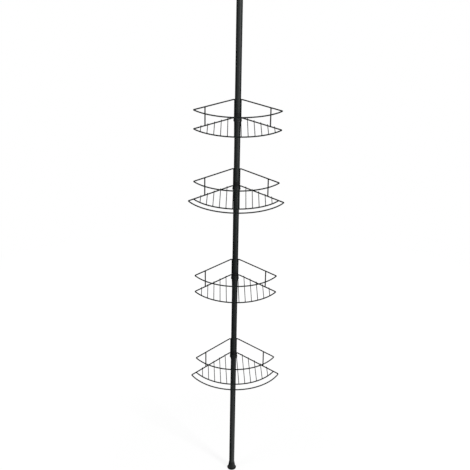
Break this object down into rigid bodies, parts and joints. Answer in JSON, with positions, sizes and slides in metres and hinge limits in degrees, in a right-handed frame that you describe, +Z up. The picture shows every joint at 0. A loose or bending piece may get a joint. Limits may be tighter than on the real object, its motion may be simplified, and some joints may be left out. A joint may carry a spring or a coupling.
{
  "type": "shower caddy",
  "caption": "Tension-pole corner shower caddy: open wire corner baskets that slide and turn on a round pole, some with a towel rail in front.",
  "frame": {"origin": "on the floor at the pole's axis: the centre of the foot pad's underside", "axes": "+Z up the pole; -Y out of the room's corner, towards the user; +X to the user's right when facing the caddy"},
  "size_m": [0.3476, 0.2597, 2.4],
  "materials": {
    "black_powder_coat": "fine satin black powder coat",
    "black_plastic": "matt moulded black plastic",
    "soft_rubber": "soft non-slip rubber",
    "spring_steel": "oiled spring wire",
    "zinc_plated_steel": "bright zinc plate"
  },
  "bodies": {
    "pole": {"foot_pad": "soft_rubber", "foot_cup": "black_plastic", "pole_tube_1": "black_powder_coat", "pole_tube_2": "black_powder_coat", "pole_tube_3": "black_powder_coat", "pole_tube_4": "black_powder_coat", "pole_joiner_1": "zinc_plated_steel", "pole_joiner_2": "zinc_plated_steel", "pole_joiner_3": "zinc_plated_steel", "tube_bush": "black_plastic", "spring_seat": "black_plastic", "ceiling_spring": "spring_steel"},
    "ceiling_post": {"ceiling_tube": "black_powder_coat", "spring_plunger": "black_plastic", "ceiling_cup": "black_plastic", "ceiling_pad": "soft_rubber"},
    "clamp_1": {"basket_1_clamp_sleeve": "black_plastic"},
    "basket_1": {"basket_1_top_rail": "black_powder_coat", "basket_1_towel_rail": "black_powder_coat", "basket_1_floor_front": "black_powder_coat", "basket_1_floor_wires": "black_powder_coat", "basket_1_side_posts": "black_powder_coat", "basket_1_corner_struts": "black_powder_coat", "basket_1_collar": "black_powder_coat"},
    "clamp_2": {"basket_2_clamp_sleeve": "black_plastic"},
    "basket_2": {"basket_2_top_rail": "black_powder_coat", "basket_2_floor_rail": "black_powder_coat", "basket_2_floor_wires": "black_powder_coat", "basket_2_side_posts": "black_powder_coat", "basket_2_corner_struts": "black_powder_coat", "basket_2_collar": "black_powder_coat"},
    "clamp_3": {"basket_3_clamp_sleeve": "black_plastic"},
    "basket_3": {"basket_3_top_rail": "black_powder_coat", "basket_3_towel_rail": "black_powder_coat", "basket_3_floor_front": "black_powder_coat", "basket_3_floor_wires": "black_powder_coat", "basket_3_side_posts": "black_powder_coat", "basket_3_corner_struts": "black_powder_coat", "basket_3_collar": "black_powder_coat"},
    "clamp_4": {"basket_4_clamp_sleeve": "black_plastic"},
    "basket_4": {"basket_4_top_rail": "black_powder_coat", "basket_4_floor_rail": "black_powder_coat", "basket_4_floor_wires": "black_powder_coat", "basket_4_side_posts": "black_powder_coat", "basket_4_corner_struts": "black_powder_coat", "basket_4_collar": "black_powder_coat"}
  },
  "joints": [
    {"name": "ceiling_slide", "type": "slide", "parent": "pole", "child": "ceiling_post", "axis": [0, 0, 1], "range_m": [-0.045, 0], "stiffness_N_per_m": 900, "springref_m": 0.04, "deforming": ["ceiling_spring"]},
    {"name": "basket_1_height", "type": "slide", "parent": "pole", "child": "clamp_1", "axis": [0, 0, 1], "range_m": [-0.45, 0.13]},
    {"name": "basket_1_swivel", "type": "hinge", "parent": "clamp_1", "child": "basket_1", "pos_m": [0, 0, 0.575], "axis": [0, 0, 1], "continuous": true},
    {"name": "basket_2_height", "type": "slide", "parent": "pole", "child": "clamp_2", "axis": [0, 0, 1], "range_m": [-0.13, 0.14]},
    {"name": "basket_2_swivel", "type": "hinge", "parent": "clamp_2", "child": "basket_2", "pos_m": [0, 0, 0.933], "axis": [0, 0, 1], "continuous": true},
    {"name": "basket_3_height", "type": "slide", "parent": "pole", "child": "clamp_3", "axis": [0, 0, 1], "range_m": [-0.14, 0.09]},
    {"name": "basket_3_swivel", "type": "hinge", "parent": "clamp_3", "child": "basket_3", "pos_m": [0, 0, 1.304], "axis": [0, 0, 1], "continuous": true},
    {"name": "basket_4_height", "type": "slide", "parent": "pole", "child": "clamp_4", "axis": [0, 0, 1], "range_m": [-0.085, 0.37]},
    {"name": "basket_4_swivel", "type": "hinge", "parent": "clamp_4", "child": "basket_4", "pos_m": [0, 0, 1.564], "axis": [0, 0, 1], "continuous": true}
  ]
}
